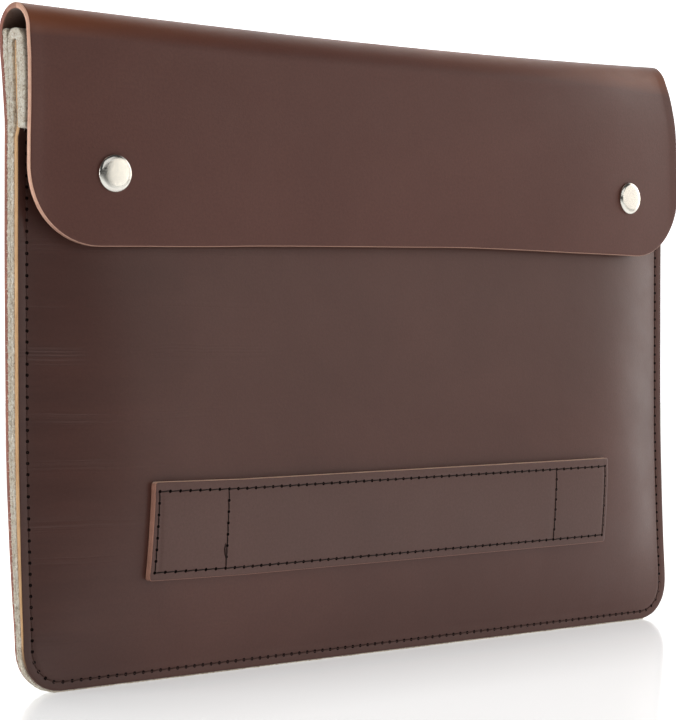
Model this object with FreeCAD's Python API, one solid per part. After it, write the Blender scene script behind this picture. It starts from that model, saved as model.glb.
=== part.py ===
import FreeCAD, Part
import math
import os

# Laptop sleeve: two leather panels lined with felt and stitched down both sides
# and along the bottom, with a flap that folds over the mouth and snaps shut, and
# a hand strap across the front.
#
# Millimetres. +Z up, +X to the right of someone looking at the front, front
# faces -Y. The origin is at the middle of the bottom of the bounding box.
# "Forward" distances are measured towards the front from the back of the fold,
# so y = Y_OF_FOLD_BACK - forward.

# ---- driving dimensions ----
WIDTH = 345.0
HEIGHT = 250.0
Y_OF_FOLD_BACK = 12.71

LEATHER = 2.2
FELT = 2.5
LAYER_GAP = 0.1
FELT_GAP = 0.45
FOLD_RADIUS = 14.0
CORNER_RADIUS = 18.0

# The seam runs down both sides and along the bottom: its middle and its
# thickness, as (height, forward distance) and (height, thickness).
SEAM_MIDDLE = ((-5, 14.6), (20, 13.9), (34, 12.9), (60, 11.0), (91, 9.8), (163, 9.0), (245, 9.0))
SEAM_THICKNESS = ((-5, 5.6), (20, 5.9), (34, 6.9), (60, 8.2), (91, 9.1), (163, 9.7), (245, 9.7))
SEAM_MARGIN = 5.5
PILLOW_POWER = 18
PILLOW_SOFTNESS = 2

# How far the front swells away from the seam at mid width, by height, and the
# swell at which the felt is as thick as it gets.
FRONT_SWELL = (
    (-5, 0), (4, 0), (12, 2.6), (22, 5.4), (34, 7.5), (60, 10.9), (80, 12.0), (100, 12.0), (120, 11.5), (163, 10.0),
    (205, 9.4), (225, 7.9), (236, 6.7), (245, 6.2))
FULL_SWELL = 10.0
FELT_RISE = 4
# Inner face of the back's felt at mid width, as (height, forward distance).
BACK_MIDDLE = (
    (-5, 14.3), (4, 14.2), (12, 8.0), (22, 2.9), (34, 0.4), (46, -0.19), (185, -0.19), (200, 0.6), (218, 3.2),
    (236, 4.8), (245, 4.8))
# The back's leather is pressed flat over its middle, so that the sleeve lies
# steady on it: forward distance of the flat, half its width, bottom and top.
BACK_FLAT = -5.24
BACK_FLAT_HALF_WIDTH = 125.0
BACK_FLAT_BOTTOM = 52.0
BACK_FLAT_TOP = 180.0
# The mouth stands open above the side seams, and the back leans back to the fold.
MOUTH_OPENING = ((-5, 0), (190, 0), (205, 0.3), (236, 2.0), (245, 2.0))
BACK_LEAN = ((-5, 0), (185, 0), (200, 0.6), (218, 2.3), (236, 4.15), (245, 4.15))

FELT_TOP = 240.0
FRONT_LEATHER_TOP = 235.0
CUFF_BOTTOM = 205.0
CUFF_CORNER = 3.0
FELT_TO_FOLD = 0.3

FLAP_BOTTOM = 164.0
FLAP_CORNER_RADIUS = 29.0
FLAP_EDGE = ((160, 19.5), (164, 19.7), (190, 20.9), (205, 22.2), (222, 25.4), (236, 28.0))
FLAP_MIDDLE = ((160, 28.0), (164, 28.1), (190, 29.2), (205, 29.6), (222, 29.3), (236, 28.0))

HINGE_COUNT = 6
HINGE_STEP = 30.0
FIRST_HINGE = 15.0
HINGE_GAP = 0.1

# Snaps. A part that is pressed on or into its neighbour bites PRESS_FIT into it.
SNAP_X = 138.0
SNAP_Z = 189.5
PRESS_FIT = 0.1
POST_RADIUS = 1.5
POST_HOLE = 1.55
POST_FIT = 0.02
POST_PAST_LEATHER = 0.8
# Front of the cap, as (radius, height above the leather).
CAP_RADIUS = 7.0
CAP_DOME = ((0, 1.8), (2.4, 1.75), (4.6, 1.52), (6.1, 1.12), (6.8, 0.8), (CAP_RADIUS, 0.55))
CAP_RIM_TURN = 0.15
CAP_SEAT = 0.15
SOCKET_RADIUS = 5.7
SOCKET_HEIGHT = 2.45
SOCKET_FLANGE = 0.5
SOCKET_TAPER = 0.9
SOCKET_LIP = 0.5
SOCKET_WALL = 0.6
SOCKET_MOUTH = 3.1
GROOVE_DEPTH = 0.7
GROOVE_HALF_HEIGHT = 0.6
SPRING_WIRE = 0.3
SPRING_RADIUS = 3.4
SPRING_BACK = 1.35
SPRING_SPLIT = 1.2
STUD_BASE_RADIUS = 5.2
STUD_BASE = 0.7
STUD_NECK = 1.8
STUD_HEAD = 2.25
STUD_HEAD_HEIGHT = 1.1
STUD_TIP_GAP = 0.9
STUD_BEVEL = 0.5
STUD_BEVEL_HEIGHT = 0.4
STUD_UNDERCUT = 0.3
STUD_SKIN = 0.05
EYELET_RADIUS = 4.6
EYELET_THICKNESS = 0.5
EYELET_ROOM = 0.3
EYELET_BITE = 0.05

STRAP_LENGTH = 243.0
STRAP_BOTTOM = 38.5
STRAP_TOP = 75.0
STRAP_LEATHER = 1.45
STRAP_CLEARANCE = 0.15
STRAP_END = 34.0
STRAP_SPLIT = 0.6
STRAP_CORNER = 3.0
STRAP_SEAM_TO_SPLIT = 1.5

THREAD_RADIUS = 0.42
STITCH_PITCH = 4.0
STITCH_LENGTH = 3.1
PERIMETER_INSET = 3.8
PERIMETER_TOP = 202.0
STRAP_INSET_TOP = 3.4
STRAP_INSET_BOTTOM = 2.9
STRAP_INSET_END = 1.8

FOLD_HEIGHT = HEIGHT - FOLD_RADIUS
HALF_WIDTH = WIDTH / 2
OVERHANG = 4.0
CUT_DEPTH = 200.0
OVERRUN = 2.0
X_STATIONS = (0, 20, 40, 60, 80, 95, 110, 122, 132, 141, 149, 156, 162, 167, 171.5, HALF_WIDTH + OVERHANG)
BODY_ROWS = (-4, 2, 8, 14, 20, 27, 35, 46, 60, 80, 100, 120, 140, 160, 180, 192, 205, 220, 236, 244)
FLAP_ROWS = (160, 170, 180, 190, 200, 210, 220, 228, 236)


def smooth(stations, height):
    """Value at a height on a smooth curve through (height, value) stations."""
    last = len(stations) - 2
    index = 0
    while index < last and height > stations[index + 1][0]:
        index += 1
    (z0, v0), (z1, v1) = stations[index], stations[index + 1]
    step = z1 - z0
    slope = (v1 - v0) / step
    before, after = slope, slope
    if index > 0:
        za, va = stations[index - 1]
        before = joined_slope((v0 - va) / (z0 - za), slope)
    if index < last:
        zb, vb = stations[index + 2]
        after = joined_slope(slope, (vb - v1) / (zb - z1))
    t = min(max((height - z0) / step, 0.0), 1.0)
    return (v0 * (1 + 2 * t) * (1 - t) ** 2 + v1 * t * t * (3 - 2 * t)
            + step * (before * t * (1 - t) ** 2 - after * t * t * (1 - t)))


def joined_slope(left, right):
    """Slope where two stretches of a curve meet, with no overshoot."""
    if left * right <= 0:
        return 0.0
    return 2 * left * right / (left + right)


def pillow(x):
    """Share of the swell at a distance from the middle: 1 there and 0 at the seams."""
    across = min(abs(x) / (HALF_WIDTH - SEAM_MARGIN), 1.0)
    return (1 - across ** PILLOW_POWER) ** PILLOW_SOFTNESS


# ---- the faces of the layers, as forward distances ----

def felt_thickness(x, z):
    """Felt is pressed thin in the bottom seam and keeps its thickness elsewhere."""
    pressed = (smooth(SEAM_THICKNESS, z) - 2 * LEATHER - 2 * LAYER_GAP - FELT_GAP) / 2
    swell = min(smooth(FRONT_SWELL, z) / FULL_SWELL, 1.0)
    free = 1 - (1 - pillow(x) * swell) ** FELT_RISE
    return pressed + (FELT - pressed) * free


def back_felt_front(x, z):
    edge = smooth(SEAM_MIDDLE, z) - FELT_GAP / 2 - smooth(BACK_LEAN, z)
    return edge + (smooth(BACK_MIDDLE, z) - edge) * pillow(x)


def back_felt_back(x, z):
    return back_felt_front(x, z) - felt_thickness(x, z)


def back_panel_front(x, z):
    return back_felt_back(x, z) - LAYER_GAP


def back_panel_back(x, z):
    return back_panel_front(x, z) - LEATHER


def front_felt_back(x, z):
    swell = smooth(FRONT_SWELL, z) * pillow(x) + smooth(MOUTH_OPENING, z)
    return smooth(SEAM_MIDDLE, z) + FELT_GAP / 2 + swell


def front_felt_front(x, z):
    return front_felt_back(x, z) + felt_thickness(x, z)


def front_panel_back(x, z):
    return front_felt_front(x, z) + LAYER_GAP


def front_panel_front(x, z):
    return front_panel_back(x, z) + LEATHER


def cuff_back(x, z):
    return front_panel_front(x, z) + LAYER_GAP


def cuff_front(x, z):
    return cuff_back(x, z) + FELT


def flap_front(x, z):
    edge = smooth(FLAP_EDGE, z)
    return edge + (smooth(FLAP_MIDDLE, z) - edge) * pillow(x)


def flap_back(x, z):
    return flap_front(x, z) - LEATHER


def lining_back(x, z):
    return front_panel_front(x, z) + STRAP_CLEARANCE


def lining_front(x, z):
    return lining_back(x, z) + STRAP_LEATHER


def strap_back(x, z):
    return lining_front(x, z) + LAYER_GAP


def strap_front(x, z):
    return strap_back(x, z) + STRAP_LEATHER


# ---- building blocks ----

def point(x, forward, z):
    return FreeCAD.Vector(x, Y_OF_FOLD_BACK - forward, z)


def surface(face, rows):
    """Smooth surface through a grid of points on one face of a layer."""
    columns = [-x for x in reversed(X_STATIONS[1:])] + list(X_STATIONS)
    grid = [[point(x, face(x, z), z) for z in rows] for x in columns]
    spline = Part.BSplineSurface()
    spline.interpolate(grid)
    return spline


def sheet(back, front, rows):
    """Solid between two faces, wider than the sleeve, to be cut to an outline."""
    near, far = surface(front, rows), surface(back, rows)
    u0, u1, v0, v1 = near.bounds()
    s0, s1, t0, t1 = far.bounds()
    sides = [
        (near.uIso(u0), far.uIso(s0)), (near.uIso(u1), far.uIso(s1)),
        (near.vIso(v0), far.vIso(t0)), (near.vIso(v1), far.vIso(t1))]
    faces = [near.toShape(), far.toShape()]
    faces += [Part.makeRuledSurface(a.toShape(), b.toShape()) for a, b in sides]
    shell = Part.Shell(faces)
    shell.sewShape()
    solid = Part.Solid(shell)
    if solid.Volume < 0:
        solid.reverse()
    return solid


def outline(left, right, bottom, top, low_radius=0.0, high_radius=0.0):
    """Block with an outline seen from the front, with rounded corners, deeper than any layer."""
    corners = [
        (left, bottom, low_radius, 180), (right, bottom, low_radius, 270),
        (right, top, high_radius, 0), (left, top, high_radius, 90)]
    inward = [(1, 1), (-1, 1), (-1, -1), (1, -1)]
    depth = CUT_DEPTH
    edges = []
    last = None
    first = None
    for (x, z, radius, start), (toward_x, toward_z) in zip(corners, inward):
        centre = FreeCAD.Vector(x + toward_x * radius, depth, z + toward_z * radius)
        begin, end = centre, centre
        if radius:
            arc = [on_circle(centre, radius, start + turn) for turn in (0, 45, 90)]
            begin, end = arc[0], arc[2]
            edges.append(Part.Arc(*arc).toShape())
        if last is not None:
            edges.append(Part.makeLine(last, begin))
        else:
            first = begin
        last = end
    edges.append(Part.makeLine(last, first))
    wire = Part.Wire(Part.__sortEdges__(edges))
    return Part.Face(wire).extrude(FreeCAD.Vector(0, -2 * depth, 0))


def on_circle(centre, radius, degrees):
    angle = math.radians(degrees)
    return centre + FreeCAD.Vector(radius * math.cos(angle), 0, radius * math.sin(angle))


def body_outline(top):
    return outline(-HALF_WIDTH, HALF_WIDTH, 0, top, low_radius=CORNER_RADIUS)


def fold_sector(start, end):
    """Stretch of the fold's leather between two angles, measured from the back."""
    inner = FOLD_RADIUS - LEATHER
    corners = [fold_point(FOLD_RADIUS, start), fold_point(FOLD_RADIUS, end), fold_point(inner, end),
               fold_point(inner, start)]
    middle = (start + end) / 2
    outer_arc = Part.Arc(corners[0], fold_point(FOLD_RADIUS, middle), corners[1])
    inner_arc = Part.Arc(corners[2], fold_point(inner, middle), corners[3])
    edges = [outer_arc.toShape(), Part.makeLine(corners[1], corners[2]), inner_arc.toShape(),
             Part.makeLine(corners[3], corners[0])]
    return Part.Face(Part.Wire(edges)).extrude(FreeCAD.Vector(WIDTH, 0, 0))


def fold_point(radius, degrees):
    angle = math.radians(degrees)
    forward = FOLD_RADIUS - radius * math.cos(angle)
    return point(-HALF_WIDTH, forward, FOLD_HEIGHT + radius * math.sin(angle))


def fold_keepout():
    """Tube around the fold's leather that the felt stays out of."""
    axis_start = point(-HALF_WIDTH - OVERHANG, FOLD_RADIUS, FOLD_HEIGHT)
    length = WIDTH + 2 * OVERHANG
    along_x = FreeCAD.Vector(1, 0, 0)
    outer = Part.makeCylinder(2 * FOLD_RADIUS, length, axis_start, along_x)
    inner = Part.makeCylinder(FOLD_RADIUS - LEATHER - FELT_TO_FOLD, length, axis_start, along_x)
    upper = Part.makeBox(length, 2 * CUT_DEPTH, CUT_DEPTH, FreeCAD.Vector(-length / 2, -CUT_DEPTH, FOLD_HEIGHT))
    return outer.cut(inner).common(upper)


def snap_axis(side):
    """Point on the front of the flap and inward direction of a snap, square to the leather."""
    x, z = side * SNAP_X, SNAP_Z
    step = 0.5
    along_x = (flap_front(x + step, z) - flap_front(x - step, z)) / (2 * step)
    along_z = (flap_front(x, z + step) - flap_front(x, z - step)) / (2 * step)
    inward = FreeCAD.Vector(along_x, 1, along_z).normalize()
    return point(x, flap_front(x, z), z), inward


def snap_reach(side, face):
    """Distance along a snap's axis from the front of the flap to a face behind it."""
    start, inward = snap_axis(side)
    reach = 0.0
    for _ in range(20):
        here = start + inward * reach
        reach += (Y_OF_FOLD_BACK - face(here.x, here.z)) - here.y
    return reach


def turned(profile, side):
    """Solid turned about a snap's axis from (radius, depth) points."""
    start, inward = snap_axis(side)
    points = [FreeCAD.Vector(radius, 0, depth) for radius, depth in profile]
    solid = Part.Face(Part.makePolygon(points + points[:1])).revolve(
        FreeCAD.Vector(0, 0, 0), FreeCAD.Vector(0, 0, 1), 360)
    rotation = FreeCAD.Rotation(FreeCAD.Vector(0, 0, 1), inward)
    solid.Placement = FreeCAD.Placement(start, rotation)
    return solid


def rod(radius, start, end, side):
    return turned([(0, start), (radius, start), (radius, end), (0, end)], side)


# ---- leather and felt ----

def back_panel():
    leather = sheet(back_panel_back, back_panel_front, BODY_ROWS).common(body_outline(FOLD_HEIGHT))
    corner = point(-BACK_FLAT_HALF_WIDTH, BACK_FLAT + LEATHER / 2, BACK_FLAT_BOTTOM)
    flat = Part.makeBox(2 * BACK_FLAT_HALF_WIDTH, LEATHER / 2, BACK_FLAT_TOP - BACK_FLAT_BOTTOM, corner)
    return leather.fuse([flat, fold_sector(0, FIRST_HINGE - HINGE_GAP)])


def fold_strip(index):
    start = FIRST_HINGE + index * HINGE_STEP
    return fold_sector(start + HINGE_GAP, start + HINGE_STEP - HINGE_GAP)


def flap():
    shape = outline(-HALF_WIDTH, HALF_WIDTH, FLAP_BOTTOM, FOLD_HEIGHT, low_radius=FLAP_CORNER_RADIUS)
    flat = sheet(flap_back, flap_front, FLAP_ROWS).common(shape)
    last_hinge = FIRST_HINGE + (HINGE_COUNT - 1) * HINGE_STEP
    leather = flat.fuse(fold_sector(last_hinge + HINGE_GAP, 180))
    for side in (-1, 1):
        leather = leather.cut(rod(POST_HOLE, -OVERRUN, LEATHER + OVERRUN, side))
    return leather


def front_panel():
    leather = sheet(front_panel_back, front_panel_front, BODY_ROWS).common(body_outline(FRONT_LEATHER_TOP))
    for side in (-1, 1):
        reach = snap_reach(side, front_panel_front)
        leather = leather.cut(rod(POST_HOLE, reach - OVERRUN, reach + LEATHER + OVERRUN, side))
    return leather


def back_felt():
    return sheet(back_felt_back, back_felt_front, BODY_ROWS).common(body_outline(FELT_TOP)).cut(fold_keepout())


def front_felt():
    """Lining of the front, turned over the leather's top edge into a cuff outside it."""
    inside = sheet(front_felt_back, front_felt_front, BODY_ROWS).common(body_outline(FELT_TOP))
    over = sheet(front_felt_back, cuff_front, BODY_ROWS).common(
        outline(-HALF_WIDTH, HALF_WIDTH, FRONT_LEATHER_TOP + LAYER_GAP, FELT_TOP))
    cuff = sheet(cuff_back, cuff_front, BODY_ROWS).common(
        outline(-HALF_WIDTH, HALF_WIDTH, CUFF_BOTTOM, FELT_TOP, low_radius=CUFF_CORNER))
    felt = inside.fuse([over, cuff]).removeSplitter().cut(fold_keepout())
    for side in (-1, 1):
        reach = snap_reach(side, front_panel_back)
        depth = EYELET_THICKNESS + EYELET_ROOM
        felt = felt.cut(rod(EYELET_RADIUS + EYELET_ROOM, reach - EYELET_ROOM, reach + depth, side))
    return felt


# ---- snaps ----

def snap_cap(side):
    """Domed cap on the front of the flap, with the post that holds the socket behind it."""
    post_end = LEATHER + POST_PAST_LEATHER
    profile = [(radius, -height) for radius, height in CAP_DOME]
    profile += [
        (CAP_RADIUS - CAP_RIM_TURN, CAP_SEAT), (POST_RADIUS, CAP_SEAT), (POST_RADIUS, post_end), (0, post_end)]
    return turned(profile, side)


def snap_socket(side):
    """Pressed cup behind the flap, open towards the stud, with a groove for its spring."""
    bore = POST_RADIUS + POST_FIT
    seat = LEATHER - PRESS_FIT
    floor = LEATHER + SOCKET_WALL
    mouth = LEATHER + SOCKET_HEIGHT
    shoulder = SOCKET_RADIUS - SOCKET_TAPER
    groove = SOCKET_MOUTH + GROOVE_DEPTH
    groove_end = LEATHER + SPRING_BACK + GROOVE_HALF_HEIGHT
    profile = [
        (bore, seat), (SOCKET_RADIUS, seat), (SOCKET_RADIUS, LEATHER + SOCKET_FLANGE),
        (shoulder, mouth - SOCKET_LIP), (shoulder - SOCKET_WALL, mouth), (SOCKET_MOUTH, mouth),
        (SOCKET_MOUTH, groove_end), (groove, groove_end), (groove, floor), (bore, floor)]
    return turned(profile, side)


def socket_spring(side):
    """Wire ring in the socket's groove, split so that it can open over the stud."""
    start, inward = snap_axis(side)
    ring = Part.makeTorus(SPRING_RADIUS, SPRING_WIRE)
    corner = FreeCAD.Vector(0, -SPRING_SPLIT / 2, -2 * SPRING_WIRE)
    ring = ring.cut(Part.makeBox(2 * SPRING_RADIUS, SPRING_SPLIT, 4 * SPRING_WIRE, corner))
    rotation = FreeCAD.Rotation(FreeCAD.Vector(0, 0, 1), inward)
    centre = start + inward * (LEATHER + SPRING_BACK)
    ring.Placement = FreeCAD.Placement(centre, rotation)
    return ring


def snap_stud(side):
    """Stud on the front panel: a round base, a neck and a head that the socket grips."""
    bore = POST_RADIUS + POST_FIT
    seat = snap_reach(side, front_panel_front)
    base = seat - STUD_BASE
    tip = LEATHER + SOCKET_WALL + STUD_TIP_GAP
    head_end = tip + STUD_HEAD_HEIGHT
    profile = [
        (0, tip), (STUD_HEAD - STUD_BEVEL, tip), (STUD_HEAD, tip + STUD_BEVEL_HEIGHT), (STUD_HEAD, head_end),
        (STUD_NECK, head_end + STUD_UNDERCUT), (STUD_NECK, base), (STUD_BASE_RADIUS - STUD_BEVEL, base),
        (STUD_BASE_RADIUS, base + STUD_BEVEL_HEIGHT), (STUD_BASE_RADIUS, seat + PRESS_FIT),
        (bore, seat + PRESS_FIT), (bore, base + STUD_SKIN), (0, base + STUD_SKIN)]
    return turned(profile, side)


def stud_eyelet(side):
    """Rivet behind the front panel whose shank holds the stud."""
    shank_end = snap_reach(side, front_panel_front) - STUD_BASE + 2 * STUD_SKIN
    flange = snap_reach(side, front_panel_back)
    profile = [
        (0, shank_end), (POST_RADIUS, shank_end), (POST_RADIUS, flange - EYELET_BITE),
        (EYELET_RADIUS, flange - EYELET_BITE), (EYELET_RADIUS, flange + EYELET_THICKNESS),
        (0, flange + EYELET_THICKNESS)]
    return turned(profile, side)


# ---- hand strap ----

def strap_part(back, front, left, right):
    half = STRAP_LENGTH / 2
    whole = sheet(back, front, BODY_ROWS).common(
        outline(-half, half, STRAP_BOTTOM, STRAP_TOP, low_radius=STRAP_CORNER, high_radius=STRAP_CORNER))
    return whole.common(outline(left, right, STRAP_BOTTOM - OVERRUN, STRAP_TOP + OVERRUN))


def strap_spans():
    """The strap's fixed ends and its middle, as (name, left, right)."""
    half = STRAP_LENGTH / 2
    inner = half - STRAP_END
    cut = STRAP_SPLIT / 2
    end = half + OVERRUN
    return [("left", -end, -inner - cut), ("middle", -inner + cut, inner - cut), ("right", inner + cut, end)]


# ---- stitching ----

def stitch(start, end):
    """One stitch lying half sunk in the leather."""
    along = end - start
    return Part.makeCylinder(THREAD_RADIUS, along.Length, start, along)


def stitches(path, face):
    """A stitch for each pitch along a path of (x, z) points, on one face of the leather."""
    steps = [math.dist(a, b) for a, b in zip(path, path[1:])]
    count = round(sum(steps) / STITCH_PITCH)
    pitch = sum(steps) / count
    made = []
    for index in range(count):
        middle = (index + 0.5) * pitch
        ends = [along_path(path, steps, middle + half * STITCH_LENGTH / 2) for half in (-1, 1)]
        made.append(stitch(*[point(x, face(x, z), z) for x, z in ends]))
    return Part.makeCompound(made)


def along_path(path, steps, distance):
    for (a, b), step in zip(zip(path, path[1:]), steps):
        if distance <= step:
            share = distance / step
            return a[0] + share * (b[0] - a[0]), a[1] + share * (b[1] - a[1])
        distance -= step
    return path[-1]


def perimeter_path():
    """Down the left side, round the corners along the bottom, and up the right side."""
    side = HALF_WIDTH - PERIMETER_INSET
    low = PERIMETER_INSET
    radius = CORNER_RADIUS - PERIMETER_INSET
    turns = [math.radians(turn) for turn in range(0, 91, 15)]
    left = [(-side + radius - radius * math.cos(t), low + radius - radius * math.sin(t)) for t in turns]
    right = [(-x, z) for x, z in reversed(left)]
    return [(-side, PERIMETER_TOP)] + left + right + [(side, PERIMETER_TOP)]


def box_path(side):
    """Round the stitched box at one end of the strap, starting at its inner line."""
    inner = side * (STRAP_LENGTH / 2 - STRAP_END + STRAP_SEAM_TO_SPLIT)
    outer = side * (STRAP_LENGTH / 2 - STRAP_INSET_END)
    low, high = STRAP_BOTTOM + STRAP_INSET_BOTTOM, STRAP_TOP - STRAP_INSET_TOP
    return [(inner, low), (inner, high), (outer, high), (outer, low), (inner, low)]


def edge_paths():
    """Along the top and the bottom of the strap between its two boxes."""
    inner = STRAP_LENGTH / 2 - STRAP_END - STRAP_SEAM_TO_SPLIT
    rows = (STRAP_BOTTOM + STRAP_INSET_BOTTOM, STRAP_TOP - STRAP_INSET_TOP)
    return [[(-inner, z), (inner, z)] for z in rows]


def build():
    parts = {
        "back_panel": back_panel(), "flap": flap(), "front_panel": front_panel(),
        "back_felt": back_felt(), "front_felt": front_felt()}
    for index in range(HINGE_COUNT - 1):
        parts[f"fold_strip_{index + 1}"] = fold_strip(index)
    for name, side in (("left", -1), ("right", 1)):
        parts[f"snap_cap_{name}"] = snap_cap(side)
        parts[f"snap_socket_{name}"] = snap_socket(side)
        parts[f"socket_spring_{name}"] = socket_spring(side)
        parts[f"snap_stud_{name}"] = snap_stud(side)
        parts[f"stud_eyelet_{name}"] = stud_eyelet(side)
        parts[f"strap_box_thread_{name}"] = stitches(box_path(side), strap_front)
    for name, left, right in strap_spans():
        parts[f"strap_outer_{name}"] = strap_part(strap_back, strap_front, left, right)
        parts[f"strap_lining_{name}"] = strap_part(lining_back, lining_front, left, right)
    parts["strap_edge_thread"] = Part.makeCompound([stitches(path, strap_front) for path in edge_paths()])
    parts["perimeter_thread_front"] = stitches(perimeter_path(), front_panel_front)
    parts["perimeter_thread_back"] = stitches(perimeter_path(), back_panel_back)
    return parts


def main():
    os.makedirs("parts", exist_ok=True)
    for name, shape in build().items():
        box = shape.optimalBoundingBox(False)
        print(f"{name:24s} solids {len(shape.Solids):3d} volume {shape.Volume:10.1f} valid {shape.isValid()}"
              f" y {box.YMin:7.2f} {box.YMax:7.2f} z {box.ZMin:7.2f} {box.ZMax:7.2f}")
        shape.exportStep(f"parts/{name}.step")


main()
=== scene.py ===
import math

import bmesh
import bpy
import numpy as np
from mathutils import Matrix, Vector


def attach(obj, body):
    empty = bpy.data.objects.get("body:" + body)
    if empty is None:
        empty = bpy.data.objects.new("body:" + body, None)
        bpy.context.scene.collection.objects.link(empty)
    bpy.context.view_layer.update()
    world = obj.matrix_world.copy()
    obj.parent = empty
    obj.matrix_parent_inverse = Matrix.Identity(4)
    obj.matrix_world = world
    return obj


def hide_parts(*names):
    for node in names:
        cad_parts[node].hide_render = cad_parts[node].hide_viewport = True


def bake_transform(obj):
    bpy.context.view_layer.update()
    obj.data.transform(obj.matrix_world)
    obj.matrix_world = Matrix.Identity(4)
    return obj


# Lengths are in millimetres up to the point where a mesh is made. A "forward"
# distance is measured towards the front from the back of the fold.
MM = 0.001
FOLD_BACK_Y = 12.71

# ---- sleeve ----
HALF_WIDTH = 172.5
CORNER = 16.0
LEATHER = 2.2
LEATHER_BOTTOM = 0.9
LEATHER_PARED = ((0, 1.1), (20, 1.2), (45, 1.8), (80, 2.2), (240, 2.2))
# A cut edge's outline: (depth through the piece, share of its bulge).
CUT_EDGE = ((0.10, 0.75), (0.3, 0.97), (0.5, 1.0), (0.7, 0.97), (0.90, 0.75))
SEAM_INSET = 3.8
GROOVE_DEPTH = 0.32
GROOVE_WIDTH = 0.75
STITCH_PITCH = 4.0
THREAD = 0.25
HOLE = 0.72
# A stitch's path: (share of the way from hole to hole, height over the leather).
STITCH = (
    (0.08, -0.4), (0.15, -0.08), (0.25, 0.08), (0.4, 0.15), (0.6, 0.15), (0.75, 0.08), (0.85, -0.08),
    (0.92, -0.4))

# Leather's outer faces at the side edges and how far they swell at mid width, by height.
FRONT_EDGE = (
    (0, 18.6), (19, 18.2), (34, 17.3), (59, 16.1), (91, 15.1), (130, 14.8), (163, 14.7), (201, 14.7),
    (228, 13.9), (240, 13.5))
FRONT_SWELL = (
    (0, 0), (5, 0), (14, 2.2), (26, 5.8), (38.5, 8.7), (57, 11.3), (75, 12.5), (91, 12.5), (130, 11.0),
    (163, 9.0), (189, 7.5), (205, 7.3), (225, 7.4), (240, 7.0))
BACK_EDGE = (
    (0, 13.2), (19, 12.5), (34, 10.8), (59, 8.4), (91, 6.6), (130, 6.0), (163, 5.7), (195, 5.8), (206, 5.9),
    (213.5, 5.2), (221, 4.4), (228, 3.5), (234, 2.7), (240, 2.2))
BACK_MIDDLE = (
    (0, 13.2), (5, 13.0), (13, 6.5), (24, 1.5), (38, -1.2), (60, -2.8), (91, -3.6), (120, -3.9),
    (163, -3.3), (200, -1.0), (222, -0.1), (234, 0.0), (240, 0.0))

# ---- fold ----
# (forward, height) of the hinges' common axis, then (forward, height, radius) of the roll.
FOLD_AXIS = (14.0, 236.0)
FOLD_LEFT = (12.4, 239.7, 10.2)
FOLD_RIGHT = (8.4, 244.6, 6.2)
FOLD_MIDDLE = (14.0, 236.0, 14.0)
FOLD_SAG = 2.3
SAG_FROM = 190
SAG_OVER = 45
FOLD_RUN = 42.0
HINGES = 6
# The fold's cut edge, with painted shade: a darker copy of the wrap leather's edge at the back, the strap's
# edge colour as a half-shaded step, and pale in front.
FOLD_EDGES = ("shaded_back_edge", "shaded_back_edge", "strap_edge", "edge", "edge", "edge")
# How far the flap stands forward of the plain roll, by how far below the roll's centre it is.
FLAP_RIGHT_SWELL = (
    (-6, 0), (-4, 0.3), (0, 1.8), (6, 4.3), (12, 6.2), (21, 8.2), (28, 9.0), (43, 9.6), (57, 10.0),
    (82, 10.3))
FLAP_LEFT_SWELL = ((-8, 0), (0, 0), (4, 0.3), (11, 0.85), (26, 0.9), (37, 0.5), (48, 0.3), (80, -0.2))
FLAP_MIDDLE_SWELL = ((-8, 0), (0, 0), (12, 0.7), (28, 1.3), (44, 1.1), (75, 0.3))
FLAP_BOTTOM = 163.5
FLAP_CORNER = 29.0
# How far the flap's bottom edge rises, across its width.
FLAP_EDGE_LIFT = (
    (-172.5, -1.4), (-128, -0.6), (-100, -0.2), (-72, 0.55), (-35, 1.15), (0, 1.6), (38, 2.05),
    (70, 1.75), (100, 1.2), (130, 0.8), (172.5, 0))

# ---- felt ----
FELT = 3.0
FELT_OUT = 0.1
FELT_CLEAR = 0.1
FELT_BULGE = 0.35
FELT_RAGGED = 0.14
FELT_BOTTOM = 0.3
CUFF_LEFT = 4.6
CUFF_RIGHT = 2.2
CUFF_MIDDLE = 3.2
CUFF_BOTTOM = 205.0
CUFF_CLEAR = 0.15
CUFF_PLUMP_LEFT = 0.7
CUFF_PLUMP_RIGHT = 0.2
FELT_TOP = 240.6
FUZZ = 0.06
FUZZ_PER_MM = 12.0
LEATHER_TOP = 236.2
# How far the front leather's side edges sink between the felt, by height.
CUFF_HIDES = ((0, 0), (203, 0), (206, 1.3), (215, 0.9), (236, 0.8))

# ---- strap ----
STRAP_HALF = 121.6
STRAP_LEAN = 1.5
STRAP_LOW = 38.5
STRAP_HIGH = 75.0
STRAP_LAYER = 1.42
STRAP_BOX = 34.5
STRAP_GAP = 0.1
STRAP_BETWEEN = 0.03
STRAP_SEAM_BOTTOM = 2.9
STRAP_SEAM_TOP = 3.4
STRAP_SEAM_END = 1.8
STRAP_SEAM_INNER = 1.5
STRAP_PITCH = 4.2
STRAP_GROOVE_DEPTH = 0.22
STRAP_GROOVE_WIDTH = 0.7
STRAP_HOLE = 0.68

# ---- snaps ----
SNAP_X = 138.0
SNAP_Z = 189.2
# Turned pieces' outlines are (radius, depth) points. Depth is 0 at the flap's face.
CAP = (
    (0, -1.85), (2.5, -1.84), (4.5, -1.78), (5.6, -1.66), (6.15, -1.5), (6.45, -1.25), (6.72, -1.05),
    (6.93, -0.75), (7.0, -0.4), (6.93, -0.05), (6.7, 0.15), (6.2, 0.15), (1.5, 0.15), (1.5, 3.0), (0, 3.0))
SOCKET_DEEP = 2.6
SPRING_RADIUS = 3.35
SPRING_WIRE = 0.3

# ---- studio ----
WHITE = (1.0, 1.0, 1.0, 1.0)
CAMERA_AT = (-626.4, -710.0, 139.1)
CAMERA_YAW = 40.530
CAMERA_PITCH = -1.209
CAMERA_ROLL = 0.138
CAMERA_LENS = 115.8


# ---- shapes

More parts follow.
